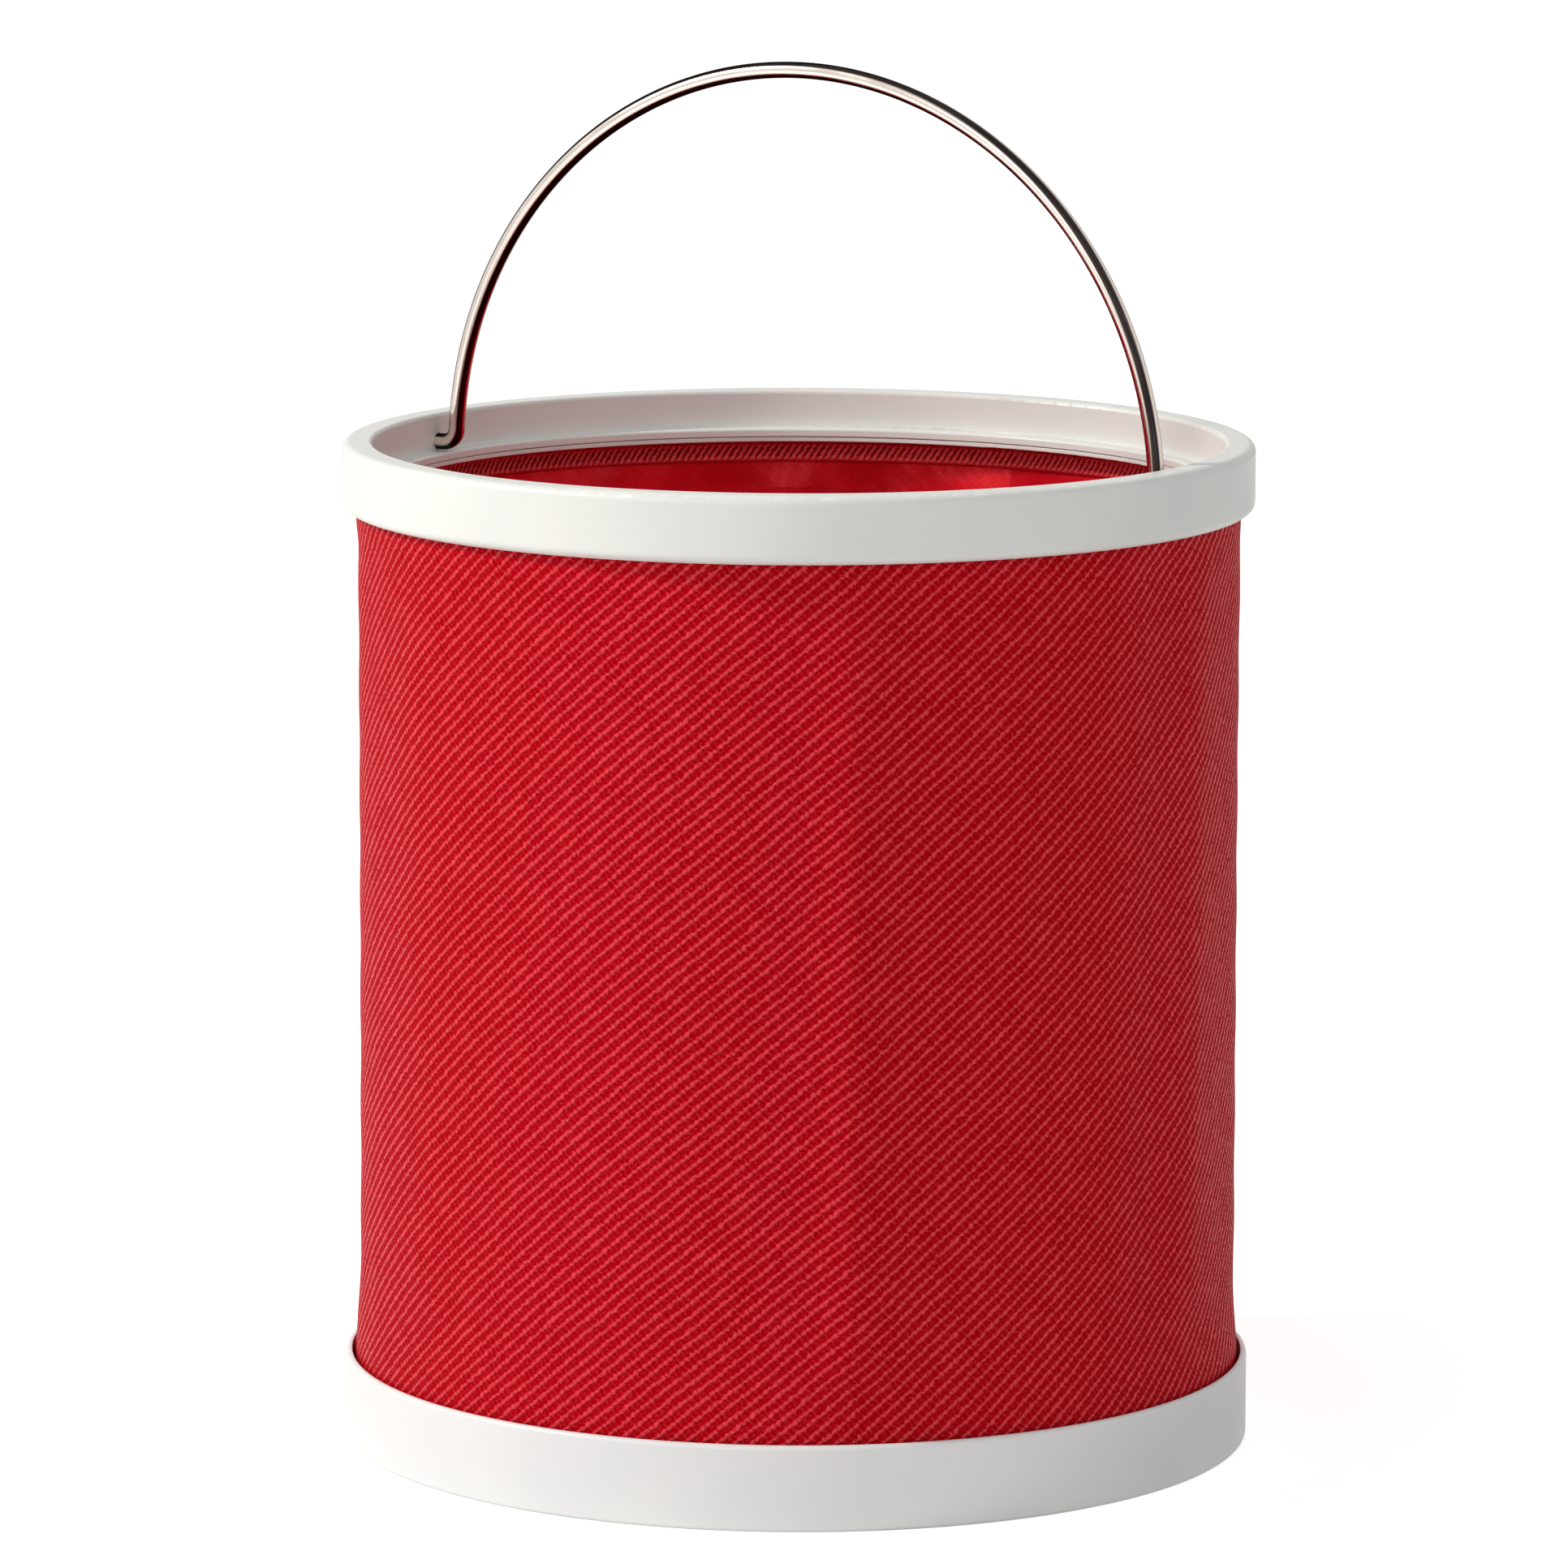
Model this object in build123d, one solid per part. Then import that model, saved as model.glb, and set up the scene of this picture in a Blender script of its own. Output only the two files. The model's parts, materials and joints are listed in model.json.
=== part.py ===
"""Folding wash bucket: two moulded rings, a coated fabric tube between them, and a wire bail.

The bucket's axis is Z and it stands on z = 0. The bail's pivots lie on a line along X. The radii
are built up from the fabric tube outwards and inwards, and the heights from the ground up and
from the rim down. Millimetres.
"""

import os
from math import degrees, sqrt

from build123d import *

# Overall
HEIGHT = 276.5  # ground to the top of the rim
WALL_R = 121.2  # outside of the fabric tube

# Soft pieces
WALL_T = 0.6  # coated fabric of the tube
FLOOR_T = 0.6  # coated fabric of the floor
TAPE_T = 0.4  # binding and seam tape
SEAM_TAPE_W = 20.0  # width of the upright seam tape
HEM_SHOWS = 2.7  # how far the binding hangs below the skirt, inside
HEM_OUTER_LEG = 5.0  # height of the binding's outer side
FLOOR_TURN_UP = 13.0  # edge of the floor that is turned up and welded to the tube

# Rim: a channel that opens downwards, and a clamp ring that closes it
SKIRT_H = 18.3
SKIRT_T = 3.1
RIM_TOP_T = 2.9
RIM_INNER_T = 2.2
LEDGE_DEPTH = 10.5  # top of the rim to the top of the ledge
LEDGE_T = 2.4
LEDGE_W = 4.4
CLAMP_T = 1.3  # flat part of the clamp ring
CLAMP_SETBACK = 0.3  # the clamp ring's inner edge stands back from the ledge's
CLAMP_LEG_T = 0.85

# Bail: one length of round wire
WIRE_D = 4.5
BAIL_SIDE_GAP = 3.65  # wire to the rim's inner wall
BAIL_DROP = 1.9  # the arch's centre lies this far below the pivots
BAIL_BEND_R = 4.0  # centreline radius of the bend at each end
BOSS_T = 1.27  # wall of the pivot boss
BORE_END_T = 0.5  # the pivot bore stops this far inside the channel

# Base: a band with an inward foot, a plate on the foot, and a clamp ring inside
BAND_H = 23.4
BAND_T = 1.7
FOOT_T = 2.4
FOOT_W = 15.0
PLATE_T = 2.0
RIB_T = 2.0
RIB_COUNT = 8
RIB_RINGS = 2
BASE_CLAMP_H = 11.5
BASE_CLAMP_T = 2.2
FLARE_H = 14.0  # height over which the tube widens into the band

# Clearances
LAYER_GAP = 0.15  # between layers that lie against each other
PIVOT_GAP = 0.08  # radial, wire in its bore
WIRE_END_GAP = 0.2  # wire end to the bottom of its bore
FOLDED_GAP = 0.35  # folded bail to the ledge
BOSS_GAP = 0.4  # pivot boss to the top of the hem
BAND_GAP = 0.8  # fabric tube to the inside of the band
PLATE_GAP = 0.4  # plate to the band and ribs to the foot
RIB_LIFT = 0.6  # ribs stand this far off the ground

# Corner radii
SKIRT_TOP_ROUND = 2.3
SKIRT_FOOT_ROUND = 2.6
BAND_TOP_ROUND = 1.3
BAND_FOOT_ROUND = 1.0
SMALL_ROUND = 0.3
FLARE_ROUND = 30.0

# Radii, outwards from the tube and then inwards
wall_inner_r = WALL_R - WALL_T
channel_outer_r = WALL_R + LAYER_GAP + TAPE_T + LAYER_GAP
ring_r = channel_outer_r + SKIRT_T
hem_inner_r = wall_inner_r - LAYER_GAP - TAPE_T
clamp_outer_r = hem_inner_r - LAYER_GAP
clamp_leg_r = clamp_outer_r - CLAMP_LEG_T
channel_inner_r = clamp_leg_r - LAYER_GAP
mouth_r = channel_inner_r - RIM_INNER_T
ledge_r = mouth_r - LEDGE_W
band_inner_r = ring_r - BAND_T
flare_r = band_inner_r - BAND_GAP
floor_r = flare_r - WALL_T - LAYER_GAP
base_clamp_r = floor_r - FLOOR_T - LAYER_GAP
foot_r = ring_r - FOOT_W

# Heights, down from the rim and then up from the ground
skirt_z = HEIGHT - SKIRT_H
ledge_z = HEIGHT - LEDGE_DEPTH
clamp_top_z = ledge_z - LEDGE_T - LAYER_GAP
pivot_z = ledge_z + FOLDED_GAP + WIRE_D / 2
bore_r = WIRE_D / 2 + PIVOT_GAP
boss_r = bore_r + BOSS_T
hem_top_z = pivot_z - boss_r - BOSS_GAP
wall_top_z = hem_top_z - TAPE_T - LAYER_GAP
plate_z = FOOT_T + LAYER_GAP
wall_foot_z = plate_z + PLATE_T + LAYER_GAP
base_clamp_z = wall_foot_z + FLOOR_T + LAYER_GAP


def turned(section, start=0.0, arc=360.0):
    """Solid swept about Z by a closed outline of (radius, height, corner radius) points."""
    points = [(radius, 0, height) for radius, height, _ in section]
    outline = FilletPolyline(*points, radius=[corner for _, _, corner in section], close=True)
    face = Rot(0, 0, start) * make_face(outline)
    return revolve(face, Axis.Z, revolution_arc=arc)


def tube_section(inner_offset, outer_offset, foot_z, top_z):
    """Outline of a layer along the tube, between two offsets from the tube's outside."""
    flare_low, flare_high = BAND_H, BAND_H + FLARE_H
    outside = [
        (flare_r, foot_z, 0),
        (flare_r, flare_low, FLARE_ROUND),
        (WALL_R, flare_high, FLARE_ROUND),
        (WALL_R, top_z, 0),
    ]
    outer = [(radius + outer_offset, height, corner) for radius, height, corner in outside]
    inner = [(radius + inner_offset, height, corner) for radius, height, corner in outside]
    return outer + inner[::-1]


def rod(radius, x_start, x_end, height):
    """Round bar along X at the given height."""
    middle = (x_start + x_end) / 2
    return Pos(middle, 0, height) * Rot(0, 90, 0) * Cylinder(radius, abs(x_end - x_start))


def rim_ring():
    """Outer channel with the ledge inside and a blind pivot bore at each side."""
    ring = turned([
        (ring_r, skirt_z, SKIRT_FOOT_ROUND),
        (ring_r, HEIGHT, SKIRT_TOP_ROUND),
        (mouth_r, HEIGHT, RIM_INNER_T / 2),
        (mouth_r, ledge_z, SMALL_ROUND),
        (ledge_r, ledge_z, LEDGE_T / 3),
        (ledge_r, ledge_z - LEDGE_T, SMALL_ROUND),
        (channel_inner_r, ledge_z - LEDGE_T, 0),
        (channel_inner_r, HEIGHT - RIM_TOP_T, SMALL_ROUND),
        (channel_outer_r, HEIGHT - RIM_TOP_T, SMALL_ROUND),
        (channel_outer_r, skirt_z, SMALL_ROUND),
    ])
    boss_start = channel_inner_r - RIM_INNER_T / 4
    boss_end = channel_outer_r + SKIRT_T / 4
    for side in (-1, 1):
        ring += rod(boss_r, side * boss_start, side * boss_end, pivot_z)
    for side in (-1, 1):
        bore_start = mouth_r - RIM_INNER_T
        ring -= rod(bore_r, side * bore_start, side * (channel_outer_r - BORE_END_T), pivot_z)
    return ring


def rim_clamp_ring():
    """Flat ring under the ledge, with a leg that holds the hem against the skirt."""
    return turned([
        (ledge_r + CLAMP_SETBACK, clamp_top_z - CLAMP_T, SMALL_ROUND),
        (clamp_outer_r, clamp_top_z - CLAMP_T, SMALL_ROUND),
        (clamp_outer_r, hem_top_z, SMALL_ROUND),
        (clamp_leg_r, hem_top_z, SMALL_ROUND),
        (clamp_leg_r, clamp_top_z, 0),
        (ledge_r + CLAMP_SETBACK, clamp_top_z, SMALL_ROUND),
    ])


def hem_binding():
    """Tape folded over the tube's top edge, longer inside than outside."""
    tape_outer_r = WALL_R + LAYER_GAP + TAPE_T
    return turned([
        (hem_inner_r, skirt_z - HEM_SHOWS, 0),
        (hem_inner_r + TAPE_T, skirt_z - HEM_SHOWS, 0),
        (hem_inner_r + TAPE_T, hem_top_z - TAPE_T, 0),
        (tape_outer_r - TAPE_T, hem_top_z - TAPE_T, 0),
        (tape_outer_r - TAPE_T, hem_top_z - HEM_OUTER_LEG, 0),
        (tape_outer_r, hem_top_z - HEM_OUTER_LEG, 0),
        (tape_outer_r, hem_top_z, TAPE_T / 2),
        (hem_inner_r, hem_top_z, TAPE_T / 2),
    ])


def wall_panel():
    """Fabric tube, straight from the rim down and a little wider inside the band."""
    return turned(tube_section(-WALL_T, 0, wall_foot_z, wall_top_z))


def side_seam_tape():
    """Tape over the tube's upright seam, at the back."""
    half_angle = degrees(SEAM_TAPE_W / WALL_R) / 2
    top_z = hem_top_z - HEM_OUTER_LEG - LAYER_GAP
    section = tube_section(LAYER_GAP, LAYER_GAP + TAPE_T, wall_foot_z, top_z)
    return turned(section, start=90 - half_angle, arc=2 * half_angle)


def floor_panel():
    """Fabric floor with its edge turned up inside the tube."""
    return turned([
        (0, wall_foot_z, 0),
        (floor_r, wall_foot_z, 2 * FLOOR_T),
        (floor_r, wall_foot_z + FLOOR_TURN_UP, 0),
        (floor_r - FLOOR_T, wall_foot_z + FLOOR_TURN_UP, 0),
        (floor_r - FLOOR_T, wall_foot_z + FLOOR_T, FLOOR_T),
        (0, wall_foot_z + FLOOR_T, 0),
    ])


def base_clamp_ring():
    """Ring inside the floor's turned-up edge, which holds it out against the band."""
    inner_r = base_clamp_r - BASE_CLAMP_T
    return turned([
        (inner_r, base_clamp_z, SMALL_ROUND),
        (base_clamp_r, base_clamp_z, 3 * SMALL_ROUND),
        (base_clamp_r, base_clamp_z + BASE_CLAMP_H, SMALL_ROUND),
        (inner_r, base_clamp_z + BASE_CLAMP_H, 3 * SMALL_ROUND),
    ])


def base_ring():
    """Outer band with an inward foot that the bucket stands on."""
    return turned([
        (foot_r, 0, SMALL_ROUND),
        (ring_r, 0, BAND_FOOT_ROUND),
        (ring_r, BAND_H, BAND_TOP_ROUND),
        (band_inner_r, BAND_H, SMALL_ROUND),
        (band_inner_r, FOOT_T, 0),
        (foot_r, FOOT_T, SMALL_ROUND),
    ])


def base_plate():
    """Stiff disc on the foot, with ring and radial ribs underneath."""
    plate = Pos(0, 0, plate_z + PLATE_T / 2) * Cylinder(band_inner_r - PLATE_GAP, PLATE_T)
    rib_reach = foot_r - PLATE_GAP
    rib_h = plate_z - RIB_LIFT
    rib_z = RIB_LIFT + rib_h / 2
    for number in range(1, RIB_RINGS + 1):
        ring_rib_r = rib_reach * number / RIB_RINGS
        plate += Pos(0, 0, rib_z) * (Cylinder(ring_rib_r, rib_h) - Cylinder(ring_rib_r - RIB_T, rib_h))
    spoke_start = rib_reach / RIB_RINGS - RIB_T / 2
    spoke_end = rib_reach - RIB_T / 2
    for number in range(RIB_COUNT):
        spoke = Box(spoke_end - spoke_start, RIB_T, rib_h)
        plate += Rot(0, 0, 360 * number / RIB_COUNT) * Pos((spoke_start + spoke_end) / 2, 0, rib_z) * spoke
    return plate


def bail_wire():
    """Round wire: a stub in each bore, a bend upwards, and one arch between the bends."""
    arch_r = mouth_r - BAIL_SIDE_GAP - WIRE_D / 2
    reach = arch_r + BAIL_BEND_R
    bend_x = sqrt(reach ** 2 - (BAIL_BEND_R + BAIL_DROP) ** 2)
    arch_centre_z = pivot_z - BAIL_DROP
    join_x = bend_x * arch_r / reach
    join_z = arch_centre_z + (BAIL_BEND_R + BAIL_DROP) * arch_r / reach
    end_x = channel_outer_r - BORE_END_T - WIRE_END_GAP
    right_bend = TangentArc((bend_x, 0, pivot_z), (join_x, 0, join_z), tangent=(-1, 0, 0))
    crown = (0, 0, arch_centre_z + arch_r)
    arch = ThreePointArc((join_x, 0, join_z), crown, (-join_x, 0, join_z))
    left_bend = TangentArc((-bend_x, 0, pivot_z), (-join_x, 0, join_z), tangent=(1, 0, 0))
    path = Wire([
        Line((end_x, 0, pivot_z), (bend_x, 0, pivot_z)),
        right_bend,
        arch,
        left_bend,
        Line((-bend_x, 0, pivot_z), (-end_x, 0, pivot_z)),
    ])
    profile = Plane(origin=(end_x, 0, pivot_z), z_dir=(-1, 0, 0)) * Circle(WIRE_D / 2)
    return sweep(profile, path=path)


PARTS = {
    "rim_ring": rim_ring,
    "rim_clamp_ring": rim_clamp_ring,
    "hem_binding": hem_binding,
    "wall_panel": wall_panel,
    "side_seam_tape": side_seam_tape,
    "floor_panel": floor_panel,
    "base_clamp_ring": base_clamp_ring,
    "base_ring": base_ring,
    "base_plate": base_plate,
    "bail_wire": bail_wire,
}

os.makedirs("parts", exist_ok=True)
for node, make in PARTS.items():
    export_step(make(), f"parts/{node}.step")
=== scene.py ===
"""Folding wash bucket: fabric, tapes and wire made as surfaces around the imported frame, and every finish.

Lengths are metres in the frame's own axes: the bucket's axis is Z, it stands on z = 0, and the bail's
pivots lie on a line along X. Cloth patterns are laid out in millimetres on the cloth itself.
"""

import json
from functools import reduce
from math import cos, pi, radians, sin, sqrt

import bpy
import numpy as np
from mathutils import Matrix, Vector


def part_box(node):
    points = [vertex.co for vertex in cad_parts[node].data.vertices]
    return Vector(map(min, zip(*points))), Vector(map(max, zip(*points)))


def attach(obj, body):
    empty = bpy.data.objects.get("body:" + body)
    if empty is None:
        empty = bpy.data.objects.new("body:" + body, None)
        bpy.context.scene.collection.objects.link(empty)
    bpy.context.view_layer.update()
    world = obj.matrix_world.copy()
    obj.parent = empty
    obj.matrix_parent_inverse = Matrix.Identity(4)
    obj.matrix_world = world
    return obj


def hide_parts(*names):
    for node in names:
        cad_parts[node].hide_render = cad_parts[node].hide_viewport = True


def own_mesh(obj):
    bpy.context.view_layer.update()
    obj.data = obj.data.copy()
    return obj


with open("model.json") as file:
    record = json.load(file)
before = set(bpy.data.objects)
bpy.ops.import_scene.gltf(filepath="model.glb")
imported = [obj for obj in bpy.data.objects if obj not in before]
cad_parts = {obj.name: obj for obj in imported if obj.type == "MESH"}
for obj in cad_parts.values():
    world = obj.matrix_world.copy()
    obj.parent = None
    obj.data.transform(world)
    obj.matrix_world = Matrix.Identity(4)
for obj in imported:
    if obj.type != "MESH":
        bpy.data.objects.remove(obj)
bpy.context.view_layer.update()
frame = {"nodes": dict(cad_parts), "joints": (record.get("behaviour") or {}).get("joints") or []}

bl_info = {
    "name": "Folding Wash Bucket",
    "version": (1, 0, 0),
    "blender": (4, 5, 0),
    "location": "3D View > Sidebar > Wash Bucket",
    "description": "Makes the fabric, the wire bail and the finishes of a folding wash bucket",
    "category": "Object",
}

MM = 0.001


# ---------------------------------------------------------------- what the frame says

HEIGHT_SLACK = MM / 10  # points this far outside a range of heights still count


def radius_at(node, low, high, pick):
    """Smallest or largest distance from the Z axis among a node's points between two heights."""
    mesh = frame["nodes"][node].data
    points = np.empty(len(mesh.vertices) * 3)
    mesh.vertices.foreach_get("co", points)
    x, y, z = points.reshape(-1, 3).T
    chosen = (z >= low - HEIGHT_SLACK) & (z <= high + HEIGHT_SLACK)
    return float(pick(np.hypot(x, y)[chosen]))


def heights(node):
    """Lowest and highest Z of a node."""
    low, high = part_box(node)
    return low.z, high.z


RIM_LOW, RIM_HIGH = heights("rim_ring")
BAND_HIGH = heights("base_ring")[1]
WALL_LOW, WALL_HIGH = heights("wall_panel")
WALL_R = radius_at("wall_panel", WALL_HIGH, WALL_HIGH, np.max)
WALL_T = WALL_R - radius_at("wall_panel", WALL_HIGH, WALL_HIGH, np.min)
FLARE_R = radius_at("wall_panel", WALL_LOW, WALL_LOW, np.max)
HEM_LOW, HEM_HIGH = heights("hem_binding")
HEM_IN_R = radius_at("hem_binding", HEM_LOW, HEM_LOW, np.min)
HEM_OUT_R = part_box("hem_binding")[1].x
TAPE_LOW, TAPE_HIGH = heights("side_seam_tape")
TAPE_HALF_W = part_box("side_seam_tape")[1].x
TAPE_OUT_R = radius_at("side_seam_tape", TAPE_HIGH, TAPE_HIGH, np.max)
TAPE_IN_R = radius_at("side_seam_tape", TAPE_HIGH, TAPE_HIGH, np.min)
CLAMP_LOW = heights("rim_clamp_ring")[0]
FLOOR_LOW, FLOOR_HIGH = heights("floor_panel")
FLOOR_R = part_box("floor_panel")[1].x
BASE_CLAMP_IN_R = radius_at("base_clamp_ring", *heights("base_clamp_ring"), np.min)
JOINTS = {joint["name"]: joint for joint in frame["joints"]}
WALL_SPLIT = RIM_LOW - 10 * MM  # cloth above this height stays with the rim, and cloth below it rides on the base


# ---------------------------------------------------------------- what a user would change

def number_setting(name, description, default, **limits):
    """Number property, with its limits, unit or subtype where it has them."""
    return bpy.props.FloatProperty(name=name, description=description, default=default, **limits)


def length_setting(name, description, default, **limits):
    """Length property, in metres."""
    return number_setting(name, description, default, unit="LENGTH", precision=4, **limits)


def angle_setting(name, description, degrees, **limits):
    """Angle property, whose default is given in degrees."""
    return number_setting(name, description, radians(degrees), unit="ROTATION", **limits)


def colour_setting(name, description, *default):
    """Colour property with as many channels as its default."""
    return bpy.props.FloatVectorProperty(
        name=name, description=description, subtype="COLOR", size=len(default), min=0, max=1, default=default)


class WASH_BUCKET_cloth(bpy.types.PropertyGroup):
    """Sizes and colours of the fabric, the tapes and the fabric floor."""
    # Rib crest and groove colours: partly the weave's own two tones, partly painted light, with a painted
    # pink sheen on the crests and painted shade in the grooves.
    crest: colour_setting("Rib Crest With Painted Sheen", "Colour of the cloth on top of its ribs", 0.91, 0.040, 0.062, 1)
    groove_with_painted_shade: colour_setting("Rib Groove With Painted Shade", "Colour of the cloth between its ribs", 0.45, 0.0005, 0.0055, 1)
    coating: colour_setting("Coating", "Colour of the waterproof coating inside", 0.82, 0.008, 0.022, 1)
    tape: colour_setting("Tape", "Colour of the binding and of the seam tape", 0.60, 0.004, 0.014, 1)
    # Thread: partly the thread's own red, made paler pink as painted light on the hem, which sits in shade
    # under the ledge.
    thread_with_painted_light: colour_setting("Thread With Painted Light", "Colour of the thread that sews the binding on", 0.97, 0.17, 0.19, 1)
    rib_pitch: length_setting(
        "Rib Pitch", "Distance from one rib to the next, square to the ribs", 2.8 * MM,
        min=0.5 * MM, max=10 * MM)
    rib_angle: angle_setting("Rib Angle", "How steeply the ribs rise to the right", 40, min=0, max=pi / 2)
    cross_pitch: length_setting(
        "Cross Pitch", "Distance between the threads that cross the ribs", 1.7 * MM,
        min=0.5 * MM, max=10 * MM)
    cross_angle: angle_setting(
        "Cross Angle", "How steeply the crossing threads fall to the right", 44, min=0, max=pi / 2)
    fold_depth: number_setting(
        "Fold Depth", "How strongly the wall's soft folds stand out, 1 as used", 1.0, min=0, max=2)
    stitch_pitch: length_setting(
        "Stitch Pitch", "Distance from one stitch of the hem to the next", 1.95 * MM, min=1 * MM, max=6 * MM)


class WASH_BUCKET_plastic(bpy.types.PropertyGroup):
    """Colours of the moulded rings and of the base plate."""
    rim: colour_setting("Rim", "Colour of the rim and its clamp ring", 0.775, 0.78, 0.745, 1)
    base: colour_setting("Base", "Colour of the base ring, its clamp ring and the plate", 0.79, 0.80, 0.79, 1)
    wear: number_setting(
        "Wear", "How much rubbing and scuffing the rings show", 0.35, subtype="FACTOR", min=0, max=1)


class WASH_BUCKET_wire(bpy.types.PropertyGroup):
    """Shape and colours of the bail."""
    bend_radius: length_setting(
        "End Bend Radius", "Radius of the wire's centreline where it turns into the rim", 4.0 * MM,
        min=3 * MM, max=8 * MM)
    centre_drop: length_setting(
        "Centre Drop", "How far the arch's centre lies below the pivots", 1.9 * MM, min=0, max=20 * MM)
    # Both steel colours are painted reflection: light and dark bands round the wire stand for the
    # surroundings that polished steel mirrors.
    bright: colour_setting(
        "Bright Painted Reflection", "Colour of the light painted reflection bands along the wire", 0.95, 0.83, 0.75, 1)
    dark: colour_setting("Dark Painted Reflection", "Colour of the dark painted reflection bands along the wire", 0.031, 0.025, 0.023, 1)


class WASH_BUCKET_stage(bpy.types.PropertyGroup):
    """Camera, lamps and floor."""
    azimuth: angle_setting("Camera Azimuth", "Direction of the camera about Z, from -Y towards +X", 30.2)
    pitch: angle_setting("Camera Pitch", "How far the camera looks down", 9.098)
    roll: angle_setting("Camera Roll", "How far the camera is turned about its own axis", 0.144)
    distance: length_setting(
        "Camera Distance", "Level distance from the bucket's axis to the camera", 2.4506, min=0.5)
    height: length_setting("Camera Height", "Height of the camera above the ground", 0.5733, min=0)
    side_step: length_setting(
        "Camera Side Step", "How far the camera stands to the right of the axis", -3.8 * MM)
    lens: number_setting("Lens", "Focal length on a 36 mm wide sensor, in millimetres", 206.9, min=20)
    key: number_setting(
        "Key Lamp", "Light from the key lamp on a surface that faces it, 1 as full", 0.61, min=0)
    fill: number_setting("Fill Lamp", "Light from the fill lamp on a surface that faces it", 0.14, min=0)
    ambient: number_setting("Ambient", "Light from all round", 0.55, min=0)
    ground: colour_setting("Ground", "Colour of the floor", 0.86, 0.86, 0.86)


class WASH_BUCKET_settings(bpy.types.PropertyGroup):
    """Everything about the bucket that a user would change."""
    cloth: bpy.props.PointerProperty(type=WASH_BUCKET_cloth)
    plastic: bpy.props.PointerProperty(type=WASH_BUCKET_plastic)
    wire: bpy.props.PointerProperty(type=WASH_BUCKET_wire)
    stage: bpy.props.PointerProperty(type=WASH_BUCKET_stage)


# ---------------------------------------------------------------- meshes from grids

CRISP_ANGLE = radians(60)


def new_object(name, data):
    """Object linked to the scene, at the origin."""
    made = bpy.data.objects.new(name, data)
    bpy.context.scene.collection.objects.link(made)
    return made


def surface_piece(name, grid, across, along, closed_rows, materials, row_material=None, crisp=False):
    """Mesh object over a grid of points whose columns go round the piece and close on themselves.

    grid is (columns, rows, 3). Rows close on themselves too where closed_rows is set; otherwise each end
    is closed by a fan about its middle point. across and along give the UV map in metres at each column
    and row, with one more value than there are columns, and than there are rows where those close.
    Faces are turned to point outwards by the sign of the volume that they enclose. They are smooth, and
    where crisp is set, smoothness stops at edges that turn by more than CRISP_ANGLE.
    """
    columns, rows = grid.shape[:2]
    points = grid.reshape(-1, 3)
    column, row = np.meshgrid(np.arange(columns), np.arange(rows if closed_rows else rows - 1), indexing="ij")
    column, row = column.ravel(), row.ravel()
    corner_column = np.stack([column, column + 1, column + 1, column], 1)
    corner_row = np.stack([row, row, row + 1, row + 1], 1)
    faces = (corner_column % columns) * rows + corner_row % rows
    face_uv = np.stack([across[corner_column], along[corner_row]], -1).reshape(-1, 2)
    face_material = np.zeros(len(faces), int) if row_material is None else row_material[row]
    volume = np.einsum("ij,ij->", points[faces[:, 0]], np.cross(points[faces[:, 1]], points[faces[:, 2]]))
    volume += np.einsum("ij,ij->", points[faces[:, 0]], np.cross(points[faces[:, 2]], points[faces[:, 3]]))
    if volume < 0:
        faces = faces[:, ::-1]
        face_uv = face_uv.reshape(-1, 4, 2)[:, ::-1].reshape(-1, 2)
    face_list = faces.tolist()
    if not closed_rows:
        around = np.arange(columns)
        following = (around + 1) % columns
        for end_row, turned in ((0, volume >= 0), (rows - 1, volume < 0)):
            middle = len(points)
            points = np.vstack([points, grid[:, end_row].mean(0)])
            rim = around * rows + end_row, following * rows + end_row
            first, second = rim[::-1] if turned else rim
            fan = np.stack([first, second, np.full(columns, middle)], 1)
            face_list += fan.tolist()
            fan_across = np.stack([across[:-1], across[1:]], 1)
            if turned:
                fan_across = fan_across[:, ::-1]
            fan_across = np.hstack([fan_across, fan_across.mean(1, keepdims=True)])
            fan_uv = np.stack([fan_across, np.full((columns, 3), along[end_row])], -1)
            face_uv = np.vstack([face_uv, fan_uv.reshape(-1, 2)])
            end_material = 0 if row_material is None else row_material[min(end_row, len(row_material) - 1)]
            face_material = np.concatenate([face_material, np.full(columns, end_material)])
    mesh = bpy.data.meshes.new(name)
    mesh.from_pydata(points.tolist(), [], face_list)
    mesh.uv_layers.new(name="cloth").data.foreach_set("uv", face_uv.astype(np.float32).ravel())
    for material in materials:
        mesh.materials.append(material)
    mesh.polygons.foreach_set("material_index", face_material.astype(np.int32))
    mesh.polygons.foreach_set("use_smooth", np.ones(len(mesh.polygons), bool))
    mesh.update()
    if crisp:
        mesh.set_sharp_from_angle(angle=CRISP_ANGLE)
    return new_object(name, mesh)


def place(piece, body, slot, *nodes):
    """Lets a piece ride on a body in place of CAD nodes, if any; slot is not used."""
    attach(piece, body)
    if nodes:
        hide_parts(*nodes)


def ring_points(radius, angle, height):
    """Points at a radius, angle and height about the Z axis."""
    radius, angle, height = np.broadcast_arrays(radius, angle, height)
    return np.stack([radius * np.cos(angle), radius * np.sin(angle), height], -1)


def lengths_along(across, up):
    """Length along a section from its first point to each of its points."""
    return np.concatenate([[0], np.cumsum(np.hypot(np.diff(across), np.diff(up)))])


def ease(start, end, value):
    """Smooth step: 0 before start, 1 after end, and 3t^2 - 2t^3 between; end may be the smaller."""
    t = np.clip((value - start) / (end - start), 0, 1)
    return t * t * (3 - 2 * t)


# ---------------------------------------------------------------- the fabric tube

SEAM_ANGLE = pi / 2  # the tube's seam faces +Y
FLARE_FROM, FLARE_TO = 18 * MM, 42 * MM  # the tube widens between these heights into the band
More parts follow.
